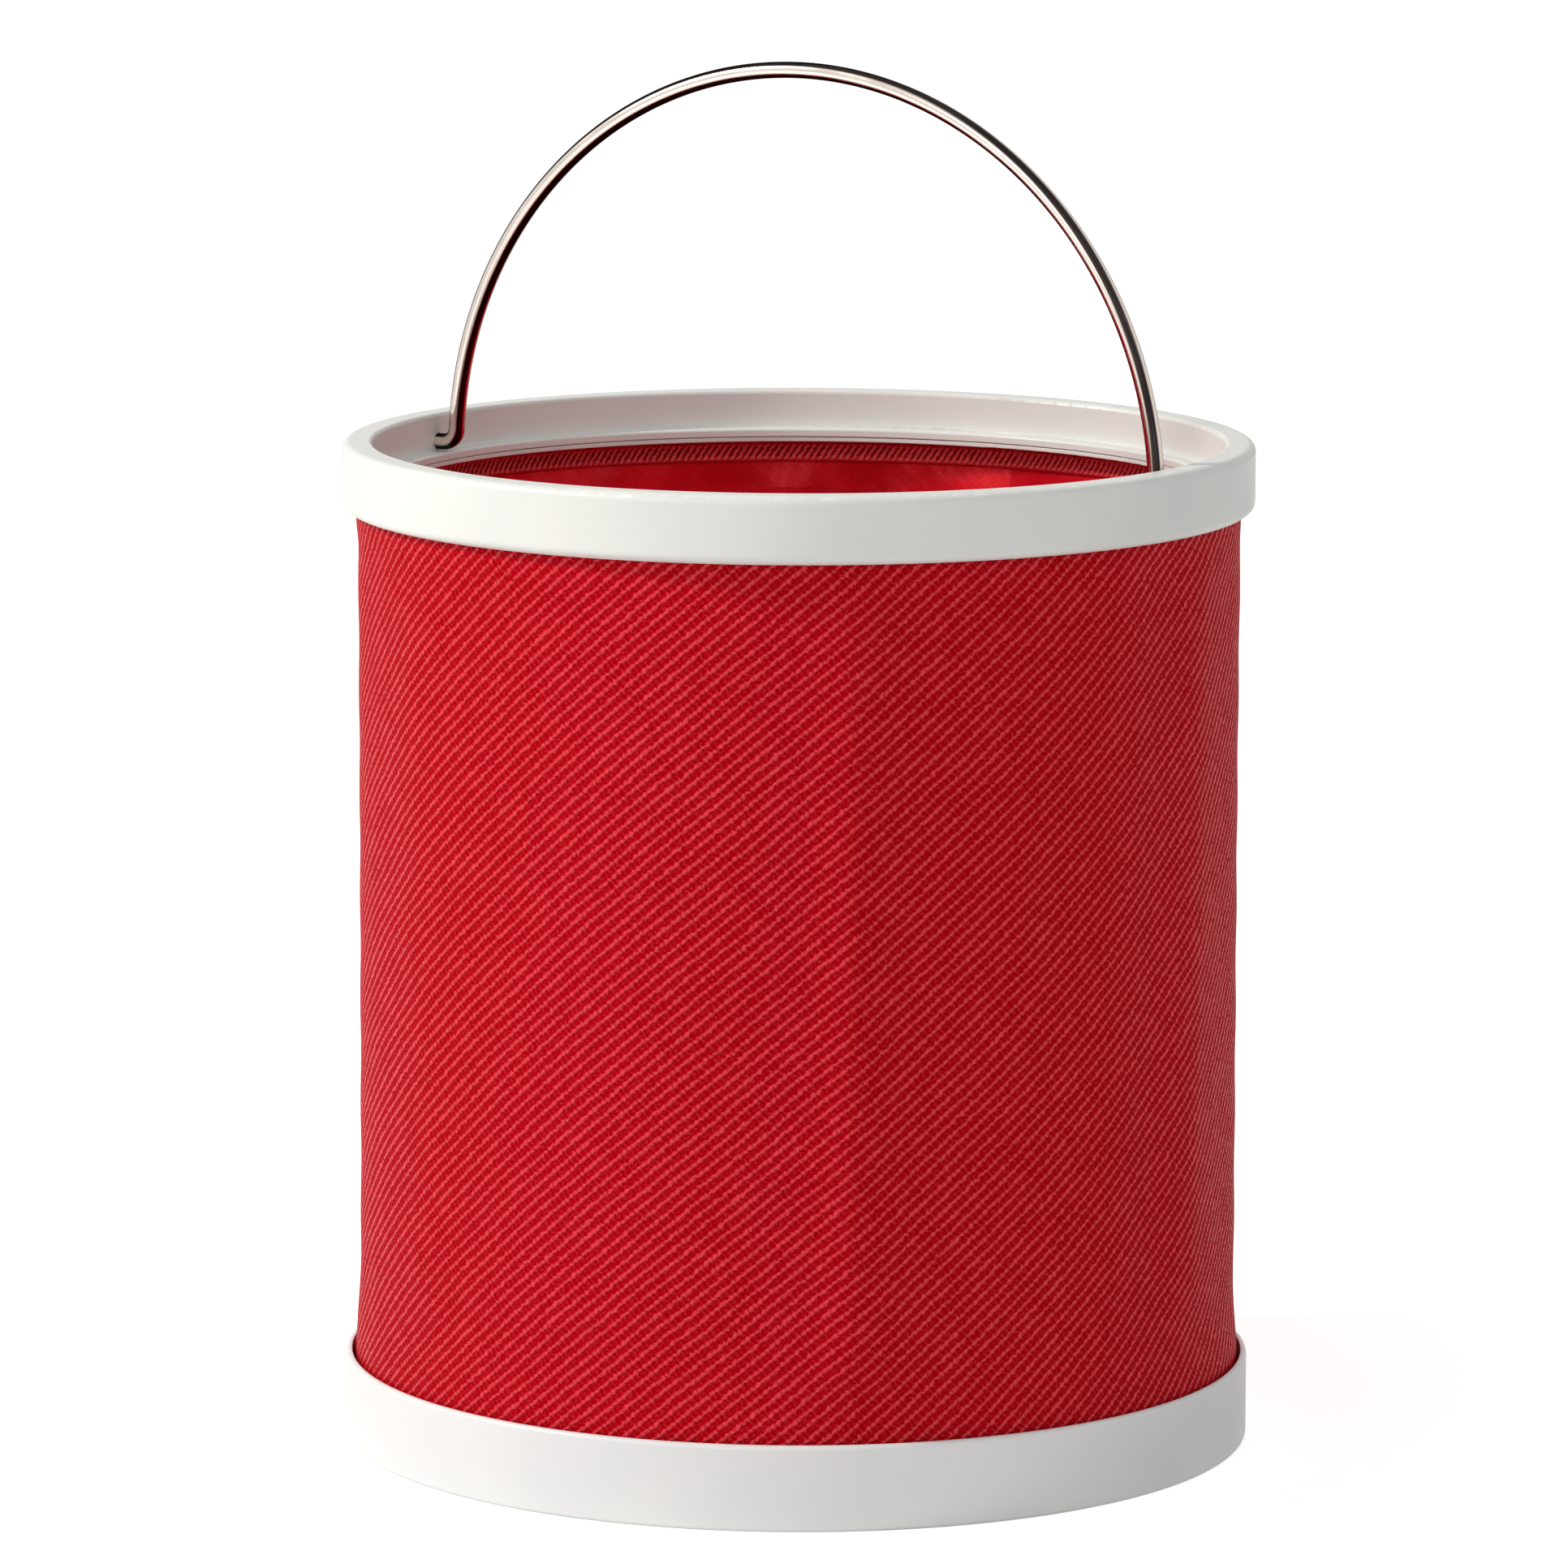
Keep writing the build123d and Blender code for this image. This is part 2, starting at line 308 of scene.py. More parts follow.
# Soft upright folds: angle about Z and half width in degrees, height in mm (outwards positive),
# lean in degrees over the wall's height, and the heights in mm between which the fold shows
FOLDS = (
    (-52.0, 5.0, 2.00, -0.6, 25, 262),
    (-40.0, 7.0, -0.45, 1.0, 25, 255),
    (-8.0, 4.5, -0.75, 3.0, 35, 262),
    (2.0, 4.0, 0.70, 2.5, 35, 258),
    (14.0, 6.0, -0.55, -2.0, 25, 250),
    (40.0, 8.0, 0.60, 4.0, 25, 255),
    (68.0, 5.0, -0.80, -3.0, 60, 258),
    (84.0, 3.5, 1.20, 5.0, 130, 259),
    (96.0, 5.0, -1.70, -6.0, 120, 259),
    (107.0, 3.6, 1.50, 9.0, 140, 260),
    (118.0, 4.5, -1.50, 7.0, 110, 259),
    (133.0, 5.0, 1.10, -4.0, 60, 259),
    (158.0, 8.0, -0.70, 3.0, 30, 255),
    (186.0, 5.0, 0.65, -3.0, 30, 255),
    (212.0, 7.0, -0.60, 2.0, 30, 258),
    (243.0, 6.0, 0.50, -2.0, 30, 250),
    (262.0, 9.0, -0.40, 1.5, 30, 250),
    (281.0, 8.0, 0.35, 1.0, 30, 250),
)
# Wide waves: number round the tube, height in mm, turn of the crest over the wall's height and start
WAVES = ((5, 0.30, 0.35, 0.4), (9, 0.16, -0.6, 2.1), (14, 0.09, 0.9, 4.4))
PLEAT_MEMORY = 0.10 * MM  # faint level creases where the tube folds when it is pushed down
PLEAT_COUNT = 9
FADE_IN, FADE_OUT = 25 * MM, 12 * MM  # a fold grows and dies away over these heights
BAND_HOLD, RIM_HOLD = 20 * MM, 10 * MM  # near the band and the rim the tube is held round


def wall_radius(angle, height, depth):
    """Outside radius of the tube.

    Straight from the rim down, widened by a smooth step into the band. Each soft fold adds a bell curve
    exp(-(offset / width)^2) of the angle, faded in and out along the height by smooth steps; wide cosine
    waves and a faint level pleat memory are added, and all of it fades out at the rim and at the band.
    """
    radius = WALL_R + (FLARE_R - WALL_R) * ease(FLARE_TO, FLARE_FROM, height)
    share = (height - WALL_LOW) / (WALL_HIGH - WALL_LOW)
    lift = np.zeros(np.broadcast(angle, height).shape)
    for middle, width, rise, lean, low, high in FOLDS:
        offset = np.degrees(angle) - middle - lean * (share - 0.5)
        offset = (offset + 180) % 360 - 180
        shown = ease(low * MM, low * MM + FADE_IN, height) * ease(high * MM, high * MM - FADE_OUT, height)
        lift += rise * MM * np.exp(-(offset / width) ** 2) * shown
    for count, rise, turn, start in WAVES:
        lift += rise * MM * np.cos(count * angle + 2 * pi * turn * share + start)
    ripple = np.cos(2 * pi * PLEAT_COUNT * share + 0.8 * np.sin(3 * angle + 1) + 0.5 * np.sin(7 * angle))
    lift += PLEAT_MEMORY * ripple
    in_band, in_rim = BAND_HIGH, RIM_LOW + 1 * MM
    free = ease(in_band, in_band + BAND_HOLD, height) * ease(in_rim, in_rim - RIM_HOLD, height)
    return radius + depth * lift * free


ROW_STEP = 2.8 * MM
SPLIT_GAP = 0.005 * MM  # between the cloth on the base and the cloth that stays with the rim


def columns_from_seam(count):
    """Turn from the seam at the edges of a number of columns, and each column's angle about Z."""
    turn = np.linspace(0, 2 * pi, count + 1)
    return turn, SEAM_ANGLE + turn[:-1, None]


def row_heights(low, high):
    """Heights of the rows of a piece of the tube between two heights."""
    return np.linspace(low, high, round((high - low) / ROW_STEP) + 1)


def squash_with_wall(piece):
    """Gives a piece of the tube a mesh of its own."""
    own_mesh(piece)


class WASH_BUCKET_OT_wall(bpy.types.Operator):
    """Makes the fabric tube between the rings, ribbed outside and coated inside, and split near the rim."""
    bl_idname = "wash_bucket.wall"
    bl_label = "Fabric Wall"

    COLUMNS = 500

    def stretch(self, cloth, materials, name, low, high):
        """The tube between two heights: up its outside, over the edge and down its inside."""
        turn, angle = columns_from_seam(self.COLUMNS)
        up = row_heights(low, high)
        height = np.concatenate([up, up[::-1]])
        outside = wall_radius(angle, up[None], cloth.fold_depth)
        radius = np.concatenate([outside, outside[:, ::-1] - WALL_T], 1)
        grid = ring_points(radius, angle, height[None])
        row_material = (np.arange(2 * len(up)) >= len(up)).astype(int)
        return surface_piece(
            name, grid, turn * WALL_R, np.append(height, height[0]), True, materials, row_material,
            crisp=True)

    def execute(self, context):
        cloth = context.scene.wash_bucket.cloth
        materials = [ribbed_cloth(cloth), coated_cloth("wall_coating", cloth, 1.0, cloth_place)]
        wall = self.stretch(cloth, materials, "bucket_wall", WALL_LOW, WALL_SPLIT - SPLIT_GAP)
        place(wall, "base", "coated_fabric", "wall_panel")
        squash_with_wall(wall)
        top = self.stretch(cloth, materials, "wall_top", WALL_SPLIT, WALL_HIGH)
        place(top, "rim", "coated_fabric")
        return {"FINISHED"}


class WASH_BUCKET_OT_seam_tape(bpy.types.Operator):
    """Makes the tape welded over the tube's upright seam."""
    bl_idname = "wash_bucket.seam_tape"
    bl_label = "Seam Tape"

    ACROSS = 48
    EDGE_T = 0.12 * MM  # the tape thins out to this at its edges
    EDGE_W = 2.0 * MM
    WELD_DEPTH = 0.10 * MM  # a pressed weld line along each side, with slanting marks in it
    WELD_AT, WELD_HALF_W = 6.2 * MM, 1.3 * MM

    def stretch(self, cloth, material, name, low, high):
        """The tape between two heights, on the tube under it."""
        side = TAPE_HALF_W * np.sin(np.linspace(-pi / 2, pi / 2, self.ACROSS))[:, None]
        height = row_heights(low, high)[None]
        angle = SEAM_ANGLE + side / WALL_R
        under = wall_radius(angle, height, cloth.fold_depth) + (TAPE_IN_R - WALL_R)
        thick = TAPE_OUT_R - TAPE_IN_R
        body = ease(TAPE_HALF_W, TAPE_HALF_W - self.EDGE_W, abs(side))
        weld = np.exp(-((abs(side) - self.WELD_AT) / self.WELD_HALF_W) ** 2)
        top = under + self.EDGE_T + (thick - self.EDGE_T) * body - self.WELD_DEPTH * weld
        radius = np.concatenate([top, under[::-1]])
        grid = ring_points(radius, np.concatenate([angle, angle[::-1]]), height)
        across = np.concatenate([side[:, 0], side[::-1, 0], side[:1, 0]])
        return surface_piece(name, grid, across, height[0], False, [material], crisp=True)

    def execute(self, context):
        cloth = context.scene.wash_bucket.cloth
        material = tape_cloth(
            "seam_tape_cloth", cloth, 0.42, cloth.tape, True, Pitch=2.4, Slant=radians(35),
            Low=(self.WELD_AT - self.WELD_HALF_W) / MM, High=(self.WELD_AT + self.WELD_HALF_W) / MM)
        tape = self.stretch(cloth, material, "seam_tape", TAPE_LOW, WALL_SPLIT - SPLIT_GAP)
        place(tape, "base", "seam_tape", "side_seam_tape")
        squash_with_wall(tape)
        top = self.stretch(cloth, material, "seam_tape_top", WALL_SPLIT, TAPE_HIGH)
        place(top, "rim", "seam_tape")
        return {"FINISHED"}


class WASH_BUCKET_OT_hem(bpy.types.Operator):
    """Makes the binding folded over the tube's top edge, with its row of slanting stitches."""
    bl_idname = "wash_bucket.hem"
    bl_label = "Hem Binding"

    COLUMNS_PER_STITCH = 6
    FACE_ROWS = 17
    PROUD = 0.35 * MM  # the binding's inner face stands this far in from the frame's, below the clamp ring
    TAPE_T = 0.4 * MM
    ROLL = 0.22 * MM  # height of the rolled edges above the stitched band
    DIP = 0.38 * MM  # depth of a stitch hole
    SLANT = radians(32)
    HOLE_SHARE = 0.46  # of the pitch
    HOLE_SLOPE = (0.62, 0.30)  # a hole's side lies between these shares of HOLE_SHARE from its middle
    PUFF = 0.06 * MM  # the cloth swells by this between holes
    BAND = (0.20, 0.74)  # the stitched band, as shares of the face's height
    STEP_OUT, STEP_IN = 0.07, 0.03  # the step into the band reaches this far out of it and into it
    HOLE_FADE = 0.12  # the holes end softly over this share at both edges of the band
    LOW_EDGE, HIGH_EDGE = 0.09, 0.93  # the face turns out below and above these shares
    LOW_ROUND, HIGH_ROUND = 0.16 * MM, 0.25 * MM  # how far the face turns out at its edges
    CLAMP_GAP = 0.25 * MM  # the face ends this far under the clamp ring
    CLAMP_HOLD = 0.1 * MM  # and the clamped tape begins this far above the ring's lower edge
    TAPE_GAP = 0.15 * MM  # from the outer leg to the seam tape below it

    def face(self, along, share, height, pitch):
        """How far the binding's inner face stands in from its rolled edges, at a place on it.

        The band between the rolled edges lies back by ROLL, with smooth steps. In it, holes lean with the
        height: each is a smooth notch in the phase (along + height * tan(slant)) / pitch.
        """
        low, high = self.BAND
        out, into = self.STEP_OUT, self.STEP_IN
        in_band = ease(low - out, low + into, share) * ease(high + out, high - into, share)
        phase = (along + height * np.tan(self.SLANT)) / pitch
        middle = abs(phase - np.round(phase))  # 0 in the middle of a hole, 0.5 between holes
        begins, deepest = self.HOLE_SLOPE
        hole = ease(self.HOLE_SHARE * begins, self.HOLE_SHARE * deepest, middle)
        deep = ease(low, low + self.HOLE_FADE, share) * ease(high, high - self.HOLE_FADE, share)
        puff = self.PUFF * np.cos(2 * pi * phase) * ease(0, low, share) * ease(1, high, share)
        return in_band * self.ROLL + deep * hole * self.DIP + puff

    def execute(self, context):
        cloth = context.scene.wash_bucket.cloth
        stitches = round(2 * pi * HEM_IN_R / cloth.stitch_pitch)
        turn, angle = columns_from_seam(stitches * self.COLUMNS_PER_STITCH)
        pitch = 2 * pi * HEM_IN_R / stitches
        face_high = CLAMP_LOW - self.CLAMP_GAP
        share = np.linspace(0, 1, self.FACE_ROWS)
        face_z = HEM_LOW + (face_high - HEM_LOW) * share
        along = HEM_IN_R * turn[:-1, None]
        face_r = HEM_IN_R - self.PROUD + self.face(along, share[None], face_z[None], pitch)
        low_round = self.LOW_ROUND * (1 - ease(0, self.LOW_EDGE, share))
        edge_round = low_round + self.HIGH_ROUND * ease(self.HIGH_EDGE, 1, share)
        face_r = np.minimum(face_r + edge_round, HEM_IN_R + self.TAPE_T / 2)
        thick, bevel = self.TAPE_T, self.TAPE_T / 2
        outer_leg_low = TAPE_HIGH + self.TAPE_GAP
        over_the_edge = np.array([
            (HEM_IN_R, CLAMP_LOW + self.CLAMP_HOLD),
            (HEM_IN_R, HEM_HIGH - bevel),
            (HEM_IN_R + bevel, HEM_HIGH),
            (HEM_OUT_R - bevel, HEM_HIGH),
            (HEM_OUT_R, HEM_HIGH - bevel),
            (HEM_OUT_R, outer_leg_low),
            (HEM_OUT_R - thick, outer_leg_low),
            (HEM_OUT_R - thick, HEM_HIGH - thick),
            (HEM_IN_R + thick, HEM_HIGH - thick),
            (HEM_IN_R + thick, HEM_LOW),
        ])
        rest = np.broadcast_to(over_the_edge[:, 0], (len(angle), len(over_the_edge)))
        radius = np.concatenate([face_r, rest], 1)
        height = np.concatenate([face_z, over_the_edge[:, 1]])
        grid = ring_points(radius, angle, height[None])
        length = lengths_along(radius[0], height)
        # The thread colour between the stitches carries painted light; the stitch holes carry painted shade.
        piece = surface_piece(
            "hem_tape", grid, turn * HEM_IN_R, np.append(length, length[-1] + thick), True,
            [tape_cloth(
                "hem_tape_cloth", cloth, 0.36, cloth.thread_with_painted_light, False, Pitch=pitch / MM, Slant=self.SLANT,
                Foot=HEM_LOW / MM, Low=self.BAND[0] * (face_high - HEM_LOW) / MM,
                High=self.BAND[1] * (face_high - HEM_LOW) / MM)])
        place(piece, "rim", "hem_tape", "hem_binding")
        return {"FINISHED"}


class WASH_BUCKET_OT_floor(bpy.types.Operator):
    """Makes the fabric floor, laid on the plate, with its edge turned up inside the tube."""
    bl_idname = "wash_bucket.floor"
    bl_label = "Fabric Floor"

    COLUMNS, FACE_ROWS = 300, 80
    UNDER_ROWS, SIDE_ROWS, CORNER_ROWS = 30, 5, 6
    THICK = 0.6 * MM
    CORNER_R = 1.2 * MM
    INNER_CORNER_R = 0.6 * MM
    MIDDLE_R = 2 * MM  # both faces are closed by a fan inside this radius
    STILL, LOOSE = 3 * MM, 28 * MM  # the wrinkles grow between these distances in from the clamp ring
    # Wrinkles of the loose cloth: direction of travel in degrees, length and height in mm, start
    WRINKLES = ((20, 61, 0.34, 0.0), (75, 47, 0.26, 1.3), (128, 83, 0.40, 2.2), (163, 31, 0.14, 0.6))

    def wrinkle(self, radius, angle):
        """Height of the cloth above the plate.

        A sum of (1 + cos) waves in several directions, bent by each other, that fades out before the
        clamp ring and is never below the plate.
        """
        x, y = radius * np.cos(angle), radius * np.sin(angle)
        lift = np.zeros(np.broadcast(radius, angle).shape)
        bend = 0.0
        for direction, length, rise, start in self.WRINKLES:
            way = radians(direction)
            phase = 2 * pi * (x * cos(way) + y * sin(way)) / (length * MM) + start + bend
            lift += rise * MM * (1 + np.cos(phase)) / 2
            bend = 1.1 * np.sin(phase * 0.7)
        return lift * ease(BASE_CLAMP_IN_R - self.STILL, BASE_CLAMP_IN_R - self.LOOSE, radius)

    def execute(self, context):
        cloth = context.scene.wash_bucket.cloth
        turn, angle = columns_from_seam(self.COLUMNS)
        quarter = np.linspace(0, pi / 2, self.CORNER_ROWS)
        corner, inner = self.CORNER_R, self.INNER_CORNER_R
        in_r, top = FLOOR_R - self.THICK, FLOOR_LOW + self.THICK
        side_z = np.linspace(FLOOR_LOW + corner, FLOOR_HIGH, self.SIDE_ROWS)[1:]
        radius = np.concatenate([
            np.linspace(self.MIDDLE_R, FLOOR_R - corner, self.UNDER_ROWS),
            FLOOR_R - corner + corner * np.sin(quarter[1:]),
            np.full(len(side_z), FLOOR_R),
            np.full(len(side_z), in_r),
            in_r - inner + inner * np.cos(quarter[:-1]),
            np.linspace(in_r - inner, self.MIDDLE_R, self.FACE_ROWS),
        ])
        height = np.concatenate([
            np.full(self.UNDER_ROWS, FLOOR_LOW),
            FLOOR_LOW + corner - corner * np.cos(quarter[1:]),
            side_z,
            side_z[::-1],
            top + inner - inner * np.sin(quarter[:-1]),
            np.full(self.FACE_ROWS, top),
        ])
        loose = self.wrinkle(radius[None], angle) * (height < FLOOR_LOW + corner)
        grid = ring_points(radius[None], angle, height[None] + loose)
        length = lengths_along(radius, height)
        piece = surface_piece(
            "floor_cloth", grid, turn * FLOOR_R, length, False,
            [coated_cloth("floor_coating", cloth, 0.9, object_place)])
        place(piece, "base", "floor_fabric", "floor_panel")
        return {"FINISHED"}


# ---------------------------------------------------------------- the bail

class WASH_BUCKET_OT_bail(bpy.types.Operator):
    """Makes the wire bail: a stub in each bore, a bend and one arch."""
    bl_idname = "wash_bucket.bail"
    bl_label = "Wire Bail"

    AROUND = 40
    STUB_SECTIONS, BEND_SECTIONS = 9, 15
    STEP = 1.0 * MM  # between sections along the arch

    def centreline(self, wire, radius):
        """Points, in the plane y = 0, and unit normals of the wire's centreline from +X to -X.

        The right half is a straight stub along X, an arc of the bend radius up to where it meets the
        arch, and the arch's own arc to the crown; the left half is its mirror image.
        """
        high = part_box("bail_wire")[1]
        pivot_z = JOINTS["bail_swing"]["pos_m"][2]
        centre_z = pivot_z - wire.centre_drop
        arch_r = high.z - radius - centre_z
        bend_r = wire.bend_radius
        reach = arch_r + bend_r
        bend_x = sqrt(reach ** 2 - (bend_r + wire.centre_drop) ** 2)
        meet = np.arctan2(bend_r + wire.centre_drop, bend_x)
        stub = np.linspace(high.x, bend_x, self.STUB_SECTIONS)[:-1]
        # Clockwise about the bend's centre, from the stub to the arch
        turn = np.linspace(-pi / 2, meet - pi, self.BEND_SECTIONS)[:-1]
        sweep = np.linspace(meet, pi / 2, round(arch_r * (pi / 2 - meet) / self.STEP))
        x = np.concatenate([stub, bend_x + bend_r * np.cos(turn), arch_r * np.cos(sweep)])
        z = np.concatenate([
            np.full(len(stub), pivot_z),
            pivot_z + bend_r + bend_r * np.sin(turn),
            centre_z + arch_r * np.sin(sweep),
        ])
        normal_x = np.concatenate([np.zeros(len(stub)), np.cos(turn), -np.cos(sweep)])
        normal_z = np.concatenate([np.full(len(stub), -1.0), np.sin(turn), -np.sin(sweep)])
        mirrored = slice(-2, None, -1)
        return (
            np.concatenate([x, -x[mirrored]]), np.concatenate([z, z[mirrored]]),
            np.concatenate([normal_x, -normal_x[mirrored]]), np.concatenate([normal_z, normal_z[mirrored]]),
        )

    def execute(self, context):
        wire = context.scene.wash_bucket.wire
        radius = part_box("bail_wire")[1].y
        x, z, normal_x, normal_z = self.centreline(wire, radius)
        turn = np.linspace(0, 2 * pi, self.AROUND + 1)
        out, side = radius * np.cos(turn[:-1, None]), radius * np.sin(turn[:-1, None])
        grid = np.stack(np.broadcast_arrays(x + out * normal_x, side, z + out * normal_z), -1)
        length = lengths_along(x, z)
        piece = surface_piece(
            "bail_rod", grid, turn * radius, length, False, [polished_steel(wire)])
        place(piece, "bail", "bail_steel", "bail_wire")
        return {"FINISHED"}


# ---------------------------------------------------------------- shader building

class Graph:
    """Adds nodes to a node tree; every value may be a number, a colour or another node's output."""

    def __init__(self, tree):
        self.tree = tree

    def put(self, socket, value):
        """Links an output to a socket, or sets the socket's own value."""
        if isinstance(value, bpy.types.NodeSocket):
            self.tree.links.new(value, socket)
        else:
            socket.default_value = value

    def fill(self, sockets, **values):
        """Fills sockets by name, spaces written as underscores."""
        for name, value in values.items():
            self.put(sockets[name.replace("_", " ")], value)

    def node(self, kind, settings=None, **inputs):
        """Adds a node, with its settings and its inputs."""
        made = self.tree.nodes.new(kind)
        made.location = (220 * len(self.tree.nodes) % 3300, -180 * (len(self.tree.nodes) // 15))
        for name, value in (settings or {}).items():
            setattr(made, name, value)
        self.fill(made.inputs, **inputs)
        return made

    def operation(self, kind, operation, values):
        """Adds a node of one operation on values in the order of its inputs."""
        made = self.node(kind, {"operation": operation})
        for socket, value in zip(made.inputs, values):
            self.put(socket, value)
        return made.outputs

    def math(self, operation, *values):
        """Result of a Math node."""
        return self.operation("ShaderNodeMath", operation, values)[0]

    def plus(self, first, second):
        """Sum."""
        return self.math("ADD", first, second)

    def minus(self, first, second):
        """Difference."""
        return self.math("SUBTRACT", first, second)

    def times(self, first, second):
        """Product."""
        return self.math("MULTIPLY", first, second)

    def over(self, first, second):
        """Quotient."""
        return self.math("DIVIDE", first, second)

    def vector(self, operation, *values):
        """Result of a Vector Math node."""
        result = self.operation("ShaderNodeVectorMath", operation, values)
        return result["Value" if operation == "DOT_PRODUCT" else "Vector"]

    def most(self, values):
        """Largest of several values."""
        return reduce(lambda first, second: self.math("MAXIMUM", first, second), values)

    def combine(self, x, y, z):
        """Vector from three numbers."""
        return self.node("ShaderNodeCombineXYZ", X=x, Y=y, Z=z).outputs[0]

    def separate(self, vector):
        """Three numbers from a vector."""
        return self.node("ShaderNodeSeparateXYZ", Vector=vector).outputs

    def noise(self, vector, scale, detail=2.0, roughness=0.5):
        """Noise of about 0 to 1."""
        return self.node("ShaderNodeTexNoise", Vector=vector, Scale=scale, Detail=detail,
                         Roughness=roughness).outputs["Fac"]

    def sway(self, vector, scale, detail=2.0, roughness=0.5):
        """Noise of about -0.5 to 0.5."""
        return self.minus(self.noise(vector, scale, detail, roughness), 0.5)

    def ramp(self, value, low, high, to_low=0.0, to_high=1.0, smooth=True):
        """Value from one range to another, clamped, with a smooth step unless told otherwise."""
        made = self.node(
            "ShaderNodeMapRange", {"interpolation_type": "SMOOTHSTEP" if smooth else "LINEAR"},
            Value=value, From_Min=low, From_Max=high, To_Min=to_low, To_Max=to_high)
        return made.outputs[0]

    def mix(self, factor, first, second):
        """Colour between two colours."""
        made = self.node("ShaderNodeMix", {"data_type": "RGBA"})
        for index, value in ((0, factor), (6, first), (7, second)):
            self.put(made.inputs[index], value)
        return made.outputs[2]

    def wave(self, phase):
        """Half plus half the cosine of a phase in turns."""
        return self.math("MULTIPLY_ADD", self.math("COSINE", self.times(phase, 2 * pi)), 0.5, 0.5)

    def bump(self, height, distance, normal=None):
        """Normal tilted by a height; distance is metres for a height of 1."""
        made = self.node("ShaderNodeBump", Height=height, Distance=distance, Strength=1.0)
        if normal is not None:
            self.put(made.inputs["Normal"], normal)
        return made.outputs[0]

    def place_group(self, name, **inputs):
        """Adds one of this file's node groups."""
        return self.node("ShaderNodeGroup", {"node_tree": bpy.data.node_groups[name]}, **inputs).outputs


def new_group(name, inputs, outputs):
    """Empty shader node group, with its graph, its inputs and a function that fills an output."""
    tree = bpy.data.node_groups.new(name, "ShaderNodeTree")
    for socket, default in inputs.items():
        kind = "NodeSocketVector" if default is None else "NodeSocketFloat"
        made = tree.interface.new_socket(name=socket, in_out="INPUT", socket_type=kind)
        if default is not None:
            made.default_value = default
    for socket in outputs:
        tree.interface.new_socket(name=socket, in_out="OUTPUT", socket_type="NodeSocketFloat")
    graph = Graph(tree)
    given = tree.nodes.new("NodeGroupInput").outputs
    result = tree.nodes.new("NodeGroupOutput").inputs
    return graph, given, lambda socket, value: tree.links.new(value, result[socket])


def twill_weave_group():
    """Slanting ribs crossed by finer threads, with frayed edges.

    A rib is 0.68 of a raised cosine and 0.32 of one at half the pitch, which narrows it and leaves a low
    ridge in each groove. The crossing threads cut the ribs into beads, and grain is added on top.
    """
    graph, given, give = new_group(
        "Twill Weave",
        {"Vector": None, "Rib Pitch": 2.8, "Rib Angle": 0.7, "Cross Pitch": 1.9, "Cross Angle": 0.77,
         "Wander": 0.2, "Beads": 0.4, "Fray": 0.5},
        ["Height", "Crest"])
    cloth = given["Vector"]
    drift = graph.sway(cloth, 0.045)
    jitter = graph.sway(cloth, 0.55)

    def turns(angle, pitch, fall, slow, quick):
        """Distance square to the lines, in pitches, with a slow and a quick wander."""
        sine = graph.times(graph.math("SINE", angle), 1.0 if fall else -1.0)
        across = graph.vector("DOT_PRODUCT", cloth, graph.combine(sine, graph.math("COSINE", angle), 0.0))
        wander = graph.plus(graph.times(drift, slow), graph.times(jitter, quick))
        return graph.math("MULTIPLY_ADD", wander, given["Wander"], graph.over(across, pitch))

    rib_turns = turns(given["Rib Angle"], given["Rib Pitch"], False, 1.8, 2.2)
    ridge = graph.times(graph.wave(graph.times(rib_turns, 2.0)), 0.32)
    rib = graph.math("MULTIPLY_ADD", graph.wave(rib_turns), 0.68, ridge)
    cross = graph.wave(turns(given["Cross Angle"], given["Cross Pitch"], True, -3.0, 6.0))
    uneven = graph.ramp(graph.noise(cloth, 0.12), 0.3, 0.7, 0.75, 1.2)
    beads = graph.times(given["Beads"], uneven)
    depth = graph.times(beads, graph.math("MULTIPLY_ADD", rib, 0.75, 0.25))
    cut = graph.times(graph.minus(1.0, cross), depth)
    grain = graph.sway(cloth, 1.5, 3.0, 0.65)
    height = graph.math("MULTIPLY_ADD", grain, given["Fray"], graph.minus(rib, cut))
    give("Height", height)
    give("Crest", graph.ramp(height, 0.10, 0.95))


def fine_grain_group():
    """Even fine grain and a slow drift of tone, for coatings, tapes and moulded skins."""
    graph, given, give = new_group(
        "Fine Grain", {"Vector": None, "Size": 0.5, "Drift": 30.0}, ["Height", "Tone"])
    fine = graph.over(1.0, given["Size"])
    slow = graph.over(1.0, given["Drift"])
    give("Height", graph.noise(given["Vector"], fine, 3.0, 0.6))
    give("Tone", graph.noise(given["Vector"], slow, 3.0, 0.5))


def scuffs_group():
    """Short faint scratches in two directions, in patches."""
    graph, given, give = new_group("Scuffs", {"Vector": None, "Length": 12.0, "Amount": 0.3}, ["Mask"])
    lines = []
    for turn in (0.5, 2.1):
        turned = graph.node("ShaderNodeVectorRotate", {"rotation_type": "AXIS_ANGLE"},
                            Vector=given["Vector"], Axis=(0.3, 0.5, 0.8), Angle=turn).outputs[0]
        flat = graph.vector("MULTIPLY", turned, (1.0, 0.06, 0.5))
        lines.append(graph.ramp(graph.noise(flat, 1.6, 2.0, 0.7), 0.66, 0.74))
    slow = graph.over(1.0, given["Length"])
    patches = graph.ramp(graph.noise(given["Vector"], slow, 2.0), 0.50, 0.70)
    give("Mask", graph.times(graph.times(graph.most(lines), patches), given["Amount"]))


def edge_rub_group():
    """Rubbed band about a height, broken up by noise."""
    graph, given, give = new_group(
        "Edge Rub", {"Vector": None, "Edge Height": 0.0, "Reach": 1.5, "Amount": 0.5}, ["Mask"])
    above = graph.minus(graph.separate(given["Vector"])[2], given["Edge Height"])
    near = graph.ramp(graph.over(graph.math("ABSOLUTE", above), given["Reach"]), 1.0, 0.0)
    broken = graph.ramp(graph.noise(given["Vector"], 0.35, 4.0, 0.65), 0.42, 0.68)
    give("Mask", graph.times(graph.times(near, broken), given["Amount"]))


